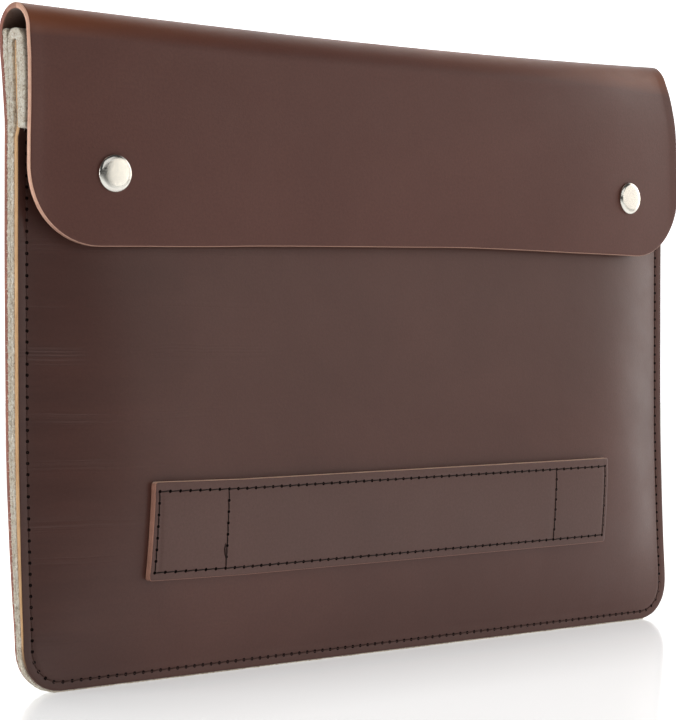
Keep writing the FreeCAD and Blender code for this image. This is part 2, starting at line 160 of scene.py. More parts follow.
def curve(stations, at):
    """Smooth curve through (position, value) stations, with no overshoot."""
    where, value = np.array(stations, float).T
    step = np.diff(where)
    rise = np.diff(value) / step
    slope = np.concatenate([rise[:1], np.zeros(len(rise) - 1), rise[-1:]])
    product = rise[:-1] * rise[1:]
    same = product > 0
    slope[1:-1][same] = 2 * product[same] / (rise[:-1] + rise[1:])[same]
    at = np.asarray(at, float)
    i = np.clip(np.searchsorted(where, at) - 1, 0, len(step) - 1)
    t = np.clip((at - where[i]) / step[i], 0, 1)
    flat = value[i] * (1 + 2 * t) * (1 - t) ** 2 + value[i + 1] * t * t * (3 - 2 * t)
    return flat + step[i] * (slope[i] * t * (1 - t) ** 2 - slope[i + 1] * t * t * (1 - t))


def share(x, power, softness):
    """1 over the middle of the width, falling to 0 at both side edges."""
    across = np.clip(np.abs(x) / (HALF_WIDTH - 5.0), 0, 1)
    return (1 - across ** power) ** softness


def panel_share(x):
    return share(x, 8, 1.3)


def fold_share(x):
    return share(x, 4, 1.25)


def from_edge(x, z):
    """Distance in from the outline of a panel with rounded bottom corners."""
    across = np.abs(x) - (HALF_WIDTH - CORNER)
    down = CORNER - z
    outside = np.hypot(np.maximum(across, 0), np.maximum(down, 0))
    inside = np.minimum(np.maximum(across, down), 0)
    return CORNER - outside - inside


def seam_groove(x, z):
    """The stitches pull the leather in along the seam."""
    depth = GROOVE_DEPTH * np.exp(-((from_edge(x, z) - SEAM_INSET) / GROOVE_WIDTH) ** 2)
    return np.where(z < CUFF_BOTTOM, depth, 0.0)


def front_face(x, z):
    return curve(FRONT_EDGE, z) + curve(FRONT_SWELL, z) * panel_share(x)


def back_face(x, z):
    side = fold_share(x)
    flat = curve(BACK_EDGE, z) * (1 - side) + curve(BACK_MIDDLE, z) * side
    middle, height, radius = fold_circle(x)
    above = np.clip(z - height, 0, None)
    round_back = middle - np.sqrt(np.maximum(radius ** 2 - above ** 2, 0))
    return np.where(z > height, round_back, flat)


def fold_circle(x):
    """The roll at a place across: forward position and height of its centre, and its radius."""
    side = fold_share(x)
    ends = [np.where(np.asarray(x) > 0, right, left) for left, right in zip(FOLD_LEFT, FOLD_RIGHT)]
    middle, height, radius = [a + (b - a) * side for a, b in zip(ends, FOLD_MIDDLE)]
    return middle, height - sag(x), radius


def flap_face(x, z):
    middle, height, radius = fold_circle(x)
    above = np.clip(z - height, 0, None)
    return middle + np.sqrt(np.maximum(radius ** 2 - above ** 2, 0)) + flap_swell(x, height - z)


def flap_swell(x, below):
    """How far the flap stands forward of a plain roll, by how far below the fold's centre it is."""
    side = fold_share(x)
    ends = np.where(np.asarray(x) > 0, curve(FLAP_RIGHT_SWELL, below), curve(FLAP_LEFT_SWELL, below))
    return ends * (1 - side) + curve(FLAP_MIDDLE_SWELL, below) * side


def front_inside(x, z):
    return front_face(x, z) - curve(LEATHER_PARED, z)


def back_inside(x, z):
    return back_face(x, z) + curve(LEATHER_PARED, z)


def felt_thickness(x, z):
    """Felt fills what room there is at the sides and keeps its thickness inside the seam."""
    squeezed = (curve(FRONT_EDGE, z) - curve(BACK_EDGE, z) - 2 * curve(LEATHER_PARED, z) - 0.3) / 2
    loose = panel_share(x) * np.clip(z / 30, 0, 1)
    return np.clip(squeezed + (FELT - squeezed) * (1 - (1 - loose) ** 3), 0.4, FELT)


def sag(x):
    """How much lower the fold is towards its middle."""
    return FOLD_SAG * (1 - (x / HALF_WIDTH) ** 2)


def sagged(x, z):
    """Heights on the panels and felts, whose top edges sag with the fold."""
    return z - sag(x) * np.clip((z - SAG_FROM) / SAG_OVER, 0, 1)


def place(x, forward, z):
    """Stack of (x, y, z) positions."""
    x, forward, z = np.broadcast_arrays(x, forward, z)
    return np.stack([x, FOLD_BACK_Y - forward, z], -1)


def near_and_far(length, fine, coarse, reach):
    """Positions from 0 to length, close together within reach of 0 and wider apart after."""
    near = np.arange(0, reach, fine)
    count = max(int(round((length - reach) / coarse)), 1)
    return np.concatenate([near, np.linspace(reach, length, count + 1)])


def both_sides(half, fine=0.75, coarse=3.5, reach=9.0):
    """Positions from -half to half, close together near both ends."""
    inward = near_and_far(half, fine, coarse, reach)
    return np.concatenate([inward - half, (half - inward[:-1])[::-1]])


def grid(columns, rows):
    return np.meshgrid(columns, rows, indexing="xy")


def round_corners(x, z, half, low, high, radius, top=False):
    """Bends the grid's corners round, keeping its lines at the same distance from the outline."""
    across = np.abs(x) - (half - radius)
    for up, edge in ((False, low), (True, high)):
        if up and not top:
            continue
        away = (z - (edge - radius)) if up else ((edge + radius) - z)
        corner = (across > 0) & (away > 0)
        length = np.hypot(across, away)
        reach = np.maximum(across, away) / np.where(length > 0, length, 1)
        x = np.where(corner, np.sign(x) * (half - radius + across * reach), x)
        bent = (edge - radius + away * reach) if up else (edge + radius - away * reach)
        z = np.where(corner, bent, z)
        across = np.abs(x) - (half - radius)
    return x, z


# ---- meshes

def new_object(name, points, faces, slots, slot_index=None, flat=None, smooth=True):
    mesh = bpy.data.meshes.new(name)
    mesh.from_pydata((np.asarray(points) * MM).tolist(), [], faces)
    obj = bpy.data.objects.new(name, mesh)
    bpy.context.scene.collection.objects.link(obj)
    for material in slots:
        mesh.materials.append(material)
    if slot_index is not None:
        mesh.polygons.foreach_set("material_index", slot_index)
    if flat is not None:
        layer = mesh.uv_layers.new(name="flat")
        corners = np.zeros(len(mesh.loops), int)
        mesh.loops.foreach_get("vertex_index", corners)
        layer.data.foreach_set("uv", (np.asarray(flat)[corners] * MM).ravel())
    mesh.polygons.foreach_set("use_smooth", [smooth] * len(mesh.polygons))
    mesh.update()
    return obj


def border(rows, columns, open_sides):
    """Runs of grid positions round the edge of a sheet, leaving out the open sides."""
    sides = {
        "bottom": [(0, c) for c in range(columns)],
        "right": [(r, columns - 1) for r in range(rows)],
        "top": [(rows - 1, c) for c in range(columns - 1, -1, -1)],
        "left": [(r, 0) for r in range(rows - 1, -1, -1)],
    }
    runs = []
    for side, cells in sides.items():
        if side in open_sides:
            continue
        if runs and runs[-1][-1] == cells[0]:
            runs[-1].extend(cells[1:])
        else:
            runs.append(list(cells))
    if len(runs) > 1 and runs[-1][-1] == runs[0][0]:
        runs[0] = runs.pop() + runs[0][1:]
    return runs


def shell(name, outer, inner, flat, slots, open_sides=(), bulge=0.28, ragged=0.0):
    """A sheet with two faces and rounded cut edges. slots: outer face, inner face, cut edge."""
    chance = np.random.default_rng(len(name))
    rows, columns, _ = outer.shape
    count = rows * columns
    points = [outer.reshape(-1, 3), inner.reshape(-1, 3)]
    flats = [flat.reshape(-1, 2), flat.reshape(-1, 2)]
    index = np.arange(count).reshape(rows, columns)
    quads = np.array(quads_between(index, closed=False))
    a, b, c = (outer.reshape(-1, 3)[quads[len(quads) // 2][k]] for k in (0, 1, 2))
    away = (outer - inner).reshape(-1, 3)[quads[len(quads) // 2][0]]
    if np.dot(np.cross(b - a, c - b), away) < 0:
        quads = quads[:, ::-1]
    faces = quads.tolist() + (quads[:, ::-1] + count).tolist()
    slot_index = [0] * len(quads) + [1] * len(quads)
    total = 2 * count
    for run in border(rows, columns, open_sides):
        closed = run[0] == run[-1]
        cells = run[:-1] if closed else run
        front = np.array([outer[cell] for cell in cells])
        through = np.array([inner[cell] for cell in cells]) - front
        out = away_from_sheet(front, through, closed, outer[rows // 2, columns // 2])
        rings = [[index[cell] for cell in cells]]
        distance = length_along(front)
        for depth, reach in CUT_EDGE:
            uneven = ragged * chance.normal(0, 1, (len(cells), 1))
            points.append(front + through * depth + out * (bulge * reach + uneven))
            flats.append(np.stack([distance, np.linalg.norm(through, axis=1) * depth], 1))
            rings.append(list(range(total, total + len(cells))))
            total += len(cells)
        rings.append([index[cell] + count for cell in cells])
        strip = quads_between(rings, closed)
        every = np.concatenate(points)
        middle = strip[2 * (len(strip) // (len(rings) - 1))]
        normal = np.cross(every[middle[1]] - every[middle[0]], every[middle[2]] - every[middle[1]])
        if np.dot(normal, out[0]) < 0:
            strip = [quad[::-1] for quad in strip]
        faces += strip
        slot_index += [2] * len(strip)
    return new_object(name, np.concatenate(points), faces, slots, slot_index, np.concatenate(flats))


def away_from_sheet(front, through, closed, middle):
    """Directions out of a sheet at its border, square to the border and to the sheet's depth."""
    along_border = np.roll(front, -1, 0) - np.roll(front, 1, 0)
    if not closed:
        along_border[0], along_border[-1] = front[1] - front[0], front[-1] - front[-2]
    out = np.cross(along_border, through)
    out /= np.linalg.norm(out, axis=1)[:, None]
    return -out if np.dot(out[0], middle - front[0]) > 0 else out


def quads_between(rings, closed):
    """Four-sided faces between each ring, or row, of point numbers and the next."""
    size = len(rings[0])
    quads = []
    for near, far in zip(rings, rings[1:]):
        for k in range(size if closed else size - 1):
            n = (k + 1) % size
            quads.append([int(near[k]), int(near[n]), int(far[n]), int(far[k])])
    return quads


def length_along(line):
    """Distance from a line's start to each of its points."""
    return np.concatenate([[0], np.cumsum(np.linalg.norm(np.diff(line, axis=0), axis=1))])


def tubes(name, lines, radius, material, sides=8):
    """Round threads along short lines of points."""
    points, faces, flats = [], [], []
    total = 0
    for line in lines:
        line = np.asarray(line)
        along = np.gradient(line, axis=0)
        along /= np.linalg.norm(along, axis=1)[:, None]
        side = np.cross(along, [0.3, 1.0, 0.2])
        side /= np.linalg.norm(side, axis=1)[:, None]
        up = np.cross(side, along)
        length = length_along(line)
        for k in range(sides):
            turn = 2 * math.pi * k / sides
            points.append(line + radius * (math.cos(turn) * side + math.sin(turn) * up))
            flats.append(np.stack([length, np.full(len(line), turn * radius)], 1))
        size = len(line)
        rings = [range(total + k * size, total + (k + 1) * size) for k in range(sides)]
        faces += quads_between(rings + rings[:1], closed=False)
        faces += [[ring[0] for ring in rings[::-1]], [ring[-1] for ring in rings]]
        total += size * sides
    return new_object(name, np.concatenate(points), faces, [material], flat=np.concatenate(flats))


def lathe(name, profile, start, inward, material, steps=72):
    """A turned piece from (radius, depth) points, about an axis that points into the sleeve."""
    inward = np.asarray(inward) / np.linalg.norm(inward)
    side = np.cross(inward, [0, 0, 1.0])
    side /= np.linalg.norm(side)
    up = np.cross(side, inward)
    points = []
    for radius, depth in profile:
        for k in range(steps):
            turn = 2 * math.pi * k / steps
            points.append(start + inward * depth + radius * (math.cos(turn) * side + math.sin(turn) * up))
    rings = [range(k * steps, (k + 1) * steps) for k in range(len(profile))]
    obj = new_object(name, points, quads_between(rings, closed=True), [material])
    solid = bmesh.new()
    solid.from_mesh(obj.data)
    bmesh.ops.remove_doubles(solid, verts=solid.verts, dist=1e-6)
    bmesh.ops.recalc_face_normals(solid, faces=solid.faces)
    solid.to_mesh(obj.data)
    solid.free()
    return obj


# ---- materials

class Shader:
    """A node material, built one node at a time."""

    def __init__(self, name):
        self.material = bpy.data.materials.new(name)
        self.material.use_nodes = True
        self.tree = self.material.node_tree

    def node(self, kind, inputs=None, **settings):
        made = self.tree.nodes.new(kind)
        for key, value in settings.items():
            setattr(made, key, value)
        for key, value in (inputs or {}).items():
            self.feed(made, key, value)
        return made

    def feed(self, node, key, value):
        if isinstance(value, bpy.types.NodeSocket):
            self.tree.links.new(value, node.inputs[key])
        else:
            node.inputs[key].default_value = value

    def done(self, **inputs):
        """Feeds the surface's inputs, named with _ for a space, and returns the material."""
        surface = self.tree.nodes["Principled BSDF"]
        for key, value in inputs.items():
            self.feed(surface, key.replace("_", " "), value)
        return self.material

    def flat(self):
        return self.node("ShaderNodeUVMap", uv_map="flat").outputs[0]

    def where(self):
        return self.node("ShaderNodeTexCoord").outputs["Object"]

    def part(self, vector, index):
        return self.node("ShaderNodeSeparateXYZ", {"Vector": vector}).outputs[index]

    def scaled(self, vector, scale):
        return self.node("ShaderNodeMapping", {"Vector": vector, "Scale": scale}).outputs[0]

    def noise(self, vector, scale, detail=4.0, roughness=0.55, distortion=0.0):
        inputs = {
            "Vector": vector, "Scale": scale, "Detail": detail, "Roughness": roughness,
            "Distortion": distortion}
        return self.node("ShaderNodeTexNoise", inputs).outputs["Fac"]

    def cells(self, vector, scale, feature="F1", randomness=1.0):
        inputs = {"Vector": vector, "Scale": scale, "Randomness": randomness}
        return self.node("ShaderNodeTexVoronoi", inputs, feature=feature).outputs["Distance"]

    def ramp(self, value, stops):
        made = self.node("ShaderNodeValToRGB", {"Fac": value})
        elements = made.color_ramp.elements
        while len(elements) < len(stops):
            elements.new(0.5)
        for element, (position, colour) in zip(elements, stops):
            element.position = position
            element.color = (*colour, 1.0) if isinstance(colour, tuple) else (colour, colour, colour, 1.0)
        return made.outputs["Color"]

    def maths(self, operation, a, b=0.0, c=0.0, clamp=False):
        made = self.node("ShaderNodeMath", {0: a, 1: b, 2: c}, operation=operation, use_clamp=clamp)
        return made.outputs[0]

    def spread(self, value, low, high, new_low, new_high):
        inputs = {"Value": value, "From Min": low, "From Max": high, "To Min": new_low, "To Max": new_high}
        return self.node("ShaderNodeMapRange", inputs).outputs[0]

    def mix(self, factor, a, b, blend="MIX"):
        made = self.node("ShaderNodeMix", data_type="RGBA", blend_type=blend)
        self.feed(made, 0, factor)
        self.feed(made, 6, a)
        self.feed(made, 7, b)
        return made.outputs[2]

    def bump(self, height, strength, distance, under=None):
        inputs = {"Height": height, "Strength": strength, "Distance": distance}
        made = self.node("ShaderNodeBump", inputs)
        if under is not None:
            self.feed(made, "Normal", under)
        return made.outputs["Normal"]


def leather_face(name, dark, light, shine=0.32, creases=None, highlight_and_pullup=None, painted_shade=None):
    """Smooth dyed leather with a low shine, fine pores, clouds of colour and faint creases."""
    s = Shader(name)
    flat = s.flat()
    clouds = s.noise(flat, 9.0, 5.0, 0.6, 0.4)
    colour = s.ramp(clouds, [(0.3, dark), (0.72, light)])
    fine = s.noise(flat, 900.0, 6.0, 0.7)
    colour = s.mix(s.spread(fine, 0.35, 0.7, 0.0, 0.30), colour, (0.05, 0.02, 0.014, 1.0))
    # Painted highlight along the fold's top, partly real pull-up colour, mixed in as a lighter, redder
    # colour.
    if highlight_and_pullup is not None:
        colour = s.mix(highlight_and_pullup(s, flat), colour, (0.34, 0.10, 0.03, 1.0))
    # Painted shade, mixed in as a darker colour.
    if painted_shade is not None:
        colour = s.mix(painted_shade(s, flat), colour, (0.035, 0.012, 0.009, 1.0))
    pores = s.cells(flat, 1500.0)
    rough = s.spread(s.noise(flat, 60.0, 6.0, 0.65), 0.3, 0.7, 0.36, 0.46)
    normal = s.bump(s.noise(flat, 45.0, 3.0, 0.5), 0.25, 0.0006)
    normal = s.bump(pores, 0.14, 0.00012, normal)
    normal = s.bump(fine, 0.12, 0.00010, normal)
    if creases is not None:
        normal = s.bump(creases(s, flat), 0.65, 0.00022, normal)
    return s.done(
        Base_Color=colour, Roughness=rough, Specular_IOR_Level=shine, Coat_Weight=0.05,
        Coat_Roughness=0.22, Normal=normal)


def cross_creases(s, flat):
    """Bands of fine creases across the leather near its left edge."""
    across, up = s.part(flat, 0), s.part(flat, 1)
    waver = s.noise(s.scaled(flat, (16.0, 16.0, 1.0)), 1.0, 3.0, 0.6)
    height = s.maths("MULTIPLY_ADD", waver, 0.005, up)
    place_at = s.node("ShaderNodeCombineXYZ", {0: 0.0, 1: height, 2: 0.0}).outputs[0]
    lines = s.cells(place_at, 640.0, "DISTANCE_TO_EDGE")
    thin = s.spread(lines, 0.0, 0.25, 1.0, 0.0)
    strong = s.spread(s.noise(place_at, 75.0, 1.0, 0.4), 0.52, 0.66, 0.0, 1.0)
    patches = s.spread(s.noise(s.scaled(flat, (30.0, 12.0, 1.0)), 1.0, 3.0, 0.6), 0.38, 0.58, 0.0, 1.0)
    left = s.spread(across, -0.168, -0.055, 1.0, 0.0)
    weight = s.maths("MULTIPLY", s.maths("MULTIPLY", strong, left), patches)
    return s.maths("SUBTRACT", 1.0, s.maths("MULTIPLY", thin, weight))


def raw_edge(name, dark, light, dark_below=0.0):
    """Cut leather: fibres along the edge, with a painted highlight where it faces up and painted shade
    where it faces down, and darker below a height.
    """
    s = Shader(name)
    flat = s.flat()
    fibres = s.noise(s.scaled(flat, (260.0, 1500.0, 1.0)), 1.0, 5.0, 0.7)
    patches = s.noise(s.scaled(flat, (40.0, 300.0, 1.0)), 1.0, 3.0, 0.6)
    blotches = s.maths("MULTIPLY_ADD", patches, 0.5, s.maths("MULTIPLY", fibres, 0.5))
    colour = s.ramp(blotches, [(0.35, dark), (0.62, light)])
    if dark_below:
        low = s.spread(s.part(s.where(), 2), dark_below * 0.4, dark_below, 1.0, 0.0)
        colour = s.mix(low, colour, (0.07, 0.028, 0.02, 1.0))
    facing_for_painted_light = s.part(s.node("ShaderNodeNewGeometry").outputs["Normal"], 2)
    # Painted highlight on up-facing cut edges, then painted shade on down-facing ones.
    colour = s.mix(s.spread(facing_for_painted_light, 0.4, 0.95, 0.0, 0.75), colour, (0.95, 0.66, 0.50, 1.0))
    colour = s.mix(s.spread(facing_for_painted_light, -0.95, -0.4, 0.75, 0.0), colour, (0.16, 0.075, 0.055, 1.0))
    return s.done(Base_Color=colour, Roughness=0.72, Normal=s.bump(fibres, 0.6, 0.00015))


def flesh_side(name):
    """The leather's back: matt, fibrous and paler than its face."""
    s = Shader(name)
    flat = s.flat()
    fibres = s.noise(flat, 700.0, 8.0, 0.75, 0.6)
    clouds = s.noise(flat, 22.0, 4.0, 0.6)
    colour = s.ramp(clouds, [(0.3, (0.10, 0.045, 0.03)), (0.75, (0.17, 0.085, 0.055))])
    colour = s.mix(s.spread(fibres, 0.35, 0.75, 0.0, 0.5), colour, (0.26, 0.15, 0.10, 1.0))
    return s.done(Base_Color=colour, Roughness=0.85, Sheen_Weight=0.25, Normal=s.bump(fibres, 0.5, 0.0003))


def felt_material(name):
    """Wool felt: pale beige with tangled light and dark fibres."""
    s = Shader(name)
    where = s.where()
    tangle = s.noise(where, 760.0, 6.0, 0.7, 1.2)
    specks = s.noise(where, 1500.0, 4.0, 0.7, 2.5)
    clouds = s.noise(where, 60.0, 4.0, 0.6)
    wool = [(0.37, (0.40, 0.29, 0.18)), (0.48, (0.84, 0.73, 0.56)), (0.56, (1.0, 0.95, 0.83))]
    colour = s.ramp(tangle, wool)
    colour = s.mix(s.spread(specks, 0.60, 0.72, 0.0, 0.6), colour, (0.22, 0.14, 0.08, 1.0))
    colour = s.mix(s.spread(clouds, 0.35, 0.7, 0.0, 0.3), colour, (0.80, 0.66, 0.48, 1.0))
    normal = s.bump(tangle, 1.0, 0.0012, s.bump(specks, 0.6, 0.0004))
    return s.done(Base_Color=colour, Roughness=0.95, Sheen_Weight=0.5, Sheen_Roughness=0.6, Normal=normal)


def fibre_material(name):
    """Single wool fibres, from pale to brown."""
    s = Shader(name)
    kinds = s.noise(s.where(), 420.0, 2.0, 0.5)
    colour = s.ramp(kinds, [(0.35, (0.40, 0.28, 0.18)), (0.45, (0.95, 0.88, 0.76))])
    return s.done(Base_Color=colour, Roughness=0.9)


def thread_material(name, dark, light):
    """Waxed thread, with the twist of its strands and painted shade in the grooves between them."""
    s = Shader(name)
    flat = s.flat()
    slant = s.maths("ADD", s.part(flat, 0), s.part(flat, 1))
    twist = s.maths("SINE", s.maths("MULTIPLY", slant, 2 * math.pi / 0.00055))
    # Painted shade: darker where the twist's relief is low, in the grooves between strands.
    colour = s.ramp(s.spread(twist, -1, 1, 0, 1), [(0.0, dark), (1.0, light)])
    normal = s.bump(twist, 0.6, 0.00012)
    return s.done(Base_Color=colour, Roughness=0.7, Specular_IOR_Level=0.2, Normal=normal)


def hole_material(name):
    """Shadowed inside of a needle hole."""
    s = Shader(name)
    shadow = [(0.3, (0.002, 0.001, 0.001)), (0.8, (0.008, 0.004, 0.003))]
    colour = s.ramp(s.noise(s.where(), 900.0), shadow)
    return s.done(Base_Color=colour, Roughness=0.9, Specular_IOR_Level=0.05)


def metal(name, tint, rough, scratches):
    """Plated metal with fine rubbing marks."""
    s = Shader(name)
    where = s.where()
    marks = s.noise(s.scaled(where, (900.0, 200.0, 900.0)), 1.0, 6.0, 0.7, 0.8)
    smudge = s.noise(where, 160.0, 4.0, 0.6)
    colour = s.mix(s.spread(smudge, 0.3, 0.75, 0.0, 0.35), (*tint, 1.0), (0.62, 0.60, 0.57, 1.0))
    uneven = s.spread(marks, 0.3, 0.75, rough, rough + 0.16)
    normal = s.bump(marks, scratches, 0.00004)
    return s.done(Base_Color=colour, Metallic=1.0, Roughness=uneven, Normal=normal)


def fold_pullup_and_highlight(s, flat):
    """Where the leather is lighter and redder along the fold's top: partly the pull-up of the bent leather,
    partly a painted highlight.
    """
    off_middle = s.maths("ABSOLUTE", s.spread(s.part(flat, 1), 0.240, 0.276, -1.0, 1.0))
    top = s.maths("SUBTRACT", 1.0, off_middle, clamp=True)
    patchy = s.spread(s.noise(s.scaled(flat, (9.0, 30.0, 1.0)), 1.0, 4.0), 0.3, 0.7, 0.4, 1.0)
    return s.maths("MULTIPLY", top, patchy)


def left_shade_painted(s, flat):
    """Where the front leather is painted darker, in streaks near its left edge: painted shade where the
    panel turns away from the light.
    """
    across = s.part(flat, 0)
    streaks = s.spread(s.noise(s.scaled(flat, (12.0, 90.0, 1.0)), 1.0, 5.0, 0.65), 0.35, 0.65, 0.6, 1.0)
    return s.maths("MULTIPLY", s.spread(across, -0.172, -0.100, 0.62, 0.0), streaks)


def make_materials():
    return {
        "front": leather_face(
            "front_leather", (0.084, 0.031, 0.023), (0.116, 0.046, 0.035), creases=cross_creases,
            painted_shade=left_shade_painted),
        "wrap": leather_face(
            "wrap_leather", (0.105, 0.037, 0.028), (0.135, 0.052, 0.040), 0.24, highlight_and_pullup=fold_pullup_and_highlight),
        "strap": leather_face("strap_leather", (0.098, 0.046, 0.037), (0.126, 0.061, 0.050)),
        "edge": raw_edge("cut_edge", (0.46, 0.23, 0.15), (0.82, 0.50, 0.37)),
        "strap_edge": raw_edge("cut_edge_strap", (0.24, 0.105, 0.07), (0.50, 0.25, 0.175)),
        # Painted shade: a darker copy of the wrap leather's cut edge, for the back panel and the back of
        # the fold.
        "shaded_back_edge": raw_edge("cut_edge_back_shaded", (0.17, 0.055, 0.04), (0.38, 0.15, 0.10)),
        "front_edge": raw_edge("cut_edge_front", (0.40, 0.20, 0.09), (0.70, 0.44, 0.22), 0.022),
        "flesh": flesh_side("leather_flesh"),
        "felt": felt_material("wool_felt"),
        "fibre": fibre_material("wool_fibre"),
        "thread": thread_material("strap_thread", (0.008, 0.004, 0.003), (0.034, 0.016, 0.012)),
        "seam_thread": thread_material("seam_thread", (0.042, 0.020, 0.016), (0.105, 0.050, 0.040)),
        "hole": hole_material("needle_hole"),
        "nickel": metal("nickel_plate", (0.80, 0.77, 0.70), 0.13, 0.10),
        "spring": metal("spring_wire", (0.7, 0.7, 0.7), 0.25, 0.1),
    }


# ---- leather

def make_front_panel(m):
    rows = LEATHER_BOTTOM + near_and_far(LEATHER_TOP - LEATHER_BOTTOM, 0.75, 3.5, 9.0)
    x, z = grid(both_sides(HALF_WIDTH), rows)
    x, z = round_corners(x, z, HALF_WIDTH, LEATHER_BOTTOM, LEATHER_TOP, CORNER)
    x = x * (1 - curve(CUFF_HIDES, z) / HALF_WIDTH)
    z = sagged(x, z)
    groove = seam_groove(x, z)
    outer = place(x, front_face(x, z) - groove, z)
    inner = place(x, front_inside(x, z), z)
    flat = np.stack([x, z], -1)
    piece = shell("front_panel_leather", outer, inner, flat, [m["front"], m["flesh"], m["front_edge"]])
    finish_piece(piece, "leather", "sleeve", "front_panel")


def make_back_panel(m):
    bottom = LEATHER_BOTTOM / 2
    x, z = grid(both_sides(HALF_WIDTH), bottom + near_and_far(FOLD_AXIS[1] - bottom, 0.75, 3.5, 9.0))
    x, z = round_corners(x, z, HALF_WIDTH, bottom, FOLD_AXIS[1], CORNER)
    outer = place(x, back_face(x, z) + seam_groove(x, z), z)
    inner = place(x, back_inside(x, z), z)
    flat = np.stack([x, z], -1)
    slots = [m["wrap"], m["flesh"], m["shaded_back_edge"]]
    piece = shell("back_panel_leather", outer, inner, flat, slots, {"top"})
    finish_piece(piece, "leather", "sleeve", "back_panel")


def fold_profile(x, inset):
    """Line of (forward, z) points over the fold at one place across, from its back to its front."""
    middle, height, radius = fold_circle(x)
    radius = radius - inset
    up = np.linspace(FOLD_AXIS[1] - 6, height, 31)[:-1]
    turn = np.radians(np.linspace(0, 180, 91))
    arc_z = height + radius * np.sin(turn)
    arc = middle - radius * np.cos(turn) + flap_swell(x, height - arc_z) * np.clip(-2 * np.cos(turn), 0, 1)
    forward = np.concatenate([back_face(x, up) + inset, arc, flap_face(x, up[::-1]) - inset])
    return forward, np.concatenate([up, arc_z, up[::-1]])


def fold_points(columns, angles, inset):
    """Where rays from the hinges' common axis meet the fold's leather, inset from its outer face."""
    strips = []
    for x in columns:
        forward, z = fold_profile(x, inset)
        ray = np.unwrap(np.arctan2(z - FOLD_AXIS[1], FOLD_AXIS[0] - forward))
        strips.append(place(x, np.interp(angles, ray, forward), np.interp(angles, ray, z)))
    return np.stack(strips, 1)


def make_fold(m):
    """The fold's leather, cut between its hinges into one piece for each span."""
    columns = both_sides(HALF_WIDTH, reach=6.0)
    for k in range(HINGES):
        angles = np.radians(np.linspace(30 * k, 30 * (k + 1), 17))
        outer, inner = fold_points(columns, angles, 0.0), fold_points(columns, angles, LEATHER)
        x, run = grid(columns, FOLD_AXIS[1] + angles / math.pi * FOLD_RUN)
        slots = [m["wrap"], m["flesh"], m[FOLD_EDGES[k]]]
        flat = np.stack([x, run], -1)
        piece = shell(f"fold_leather_{k + 1}", outer, inner, flat, slots, {"top", "bottom"})
        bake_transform(piece)
        if k:
            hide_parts(f"fold_strip_{k}")


def make_flap(m):
    drop = near_and_far(FOLD_AXIS[1] - FLAP_BOTTOM, 1.0, 2.4, 8.0)
    x, z = grid(both_sides(HALF_WIDTH), FLAP_BOTTOM + drop)
    x, z = round_corners(x, z, HALF_WIDTH, FLAP_BOTTOM, FOLD_AXIS[1], FLAP_CORNER)
    lift = curve(FLAP_EDGE_LIFT, x)
    z = z + lift * (FOLD_AXIS[1] - z) / (FOLD_AXIS[1] - FLAP_BOTTOM)
    outer = place(x, flap_face(x, z), z)
    inner = place(x, flap_face(x, z) - LEATHER, z)
    flat = np.stack([x, FOLD_AXIS[1] + FOLD_RUN + (FOLD_AXIS[1] - z)], -1)
    piece = shell("flap_leather", outer, inner, flat, [m["wrap"], m["flesh"], m["edge"]], {"top"})
    finish_piece(piece, "leather", "flap", "flap")


def finish_piece(piece, slot, body, *nodes):
    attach(piece, body)
    if nodes:
        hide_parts(*nodes)


# ---- felt

def felt_rows(top):
    return FELT_BOTTOM + near_and_far(top - FELT_BOTTOM, 0.8, 0.8, 8.0)


def felt_grid(top):
    half = HALF_WIDTH + FELT_OUT
    x, z = grid(both_sides(half, coarse=5.0), felt_rows(top))
    x, z = round_corners(x, z, half, FELT_BOTTOM, top, CORNER)
    return x, sagged(x, z)


def make_back_felt(m):
    x, z = felt_grid(FELT_TOP)
    back = back_inside(x, z) + FELT_CLEAR
    near_fold = back + 0.6 * np.clip((z - 232) / 6, 0, 1)
    front = back + felt_thickness(x, z)
    piece = shell(
        "back_felt_lining", place(x, front, z), place(x, near_fold, z), np.stack([x, z], -1),
        [m["felt"]] * 3, bulge=FELT_BULGE, ragged=FELT_RAGGED)
    finish_piece(piece, "felt", "sleeve", "back_felt")
    return piece


def cuff_rows(side, turns, down):
    """The felt's rows of points over the leather's top edge and down the cuff: inside, then outside."""
    top = LEATHER_TOP - sag(side)
    middle = fold_share(side)
    cuff_end = np.where(side > 0, CUFF_RIGHT, CUFF_LEFT)
    thick = cuff_end + (CUFF_MIDDLE - cuff_end) * middle
    pivot = front_face(side, top) - LEATHER / 2
    reach_in = LEATHER / 2 + CUFF_CLEAR
    felt_in = felt_thickness(side, top)
    low_rows, high_rows = [], []
    for turn in turns:
        blend = (1 - np.cos(turn)) / 2
        reach_out = reach_in + felt_in + (thick - felt_in) * blend
        rise = (FELT_TOP - LEATHER_TOP) * np.sin(turn)
        low_rows.append(place(side, pivot - reach_in * np.cos(turn), top + CUFF_CLEAR + 0.5 * np.sin(turn)))
        high_rows.append(place(side, pivot - reach_out * np.cos(turn), top + CUFF_CLEAR + rise))
    plump_end = np.where(side > 0, CUFF_PLUMP_RIGHT, CUFF_PLUMP_LEFT)
    for distance in down:
        lower = top - distance
        face = front_face(side, lower) + FELT_CLEAR
        plump = plump_end * np.sin(math.pi * min(distance / 28.0, 1.0)) * (1 - middle)
        low_rows.append(place(side, face, lower))
        high_rows.append(place(side, face + thick + plump, lower))
    return np.array(low_rows), np.array(high_rows)


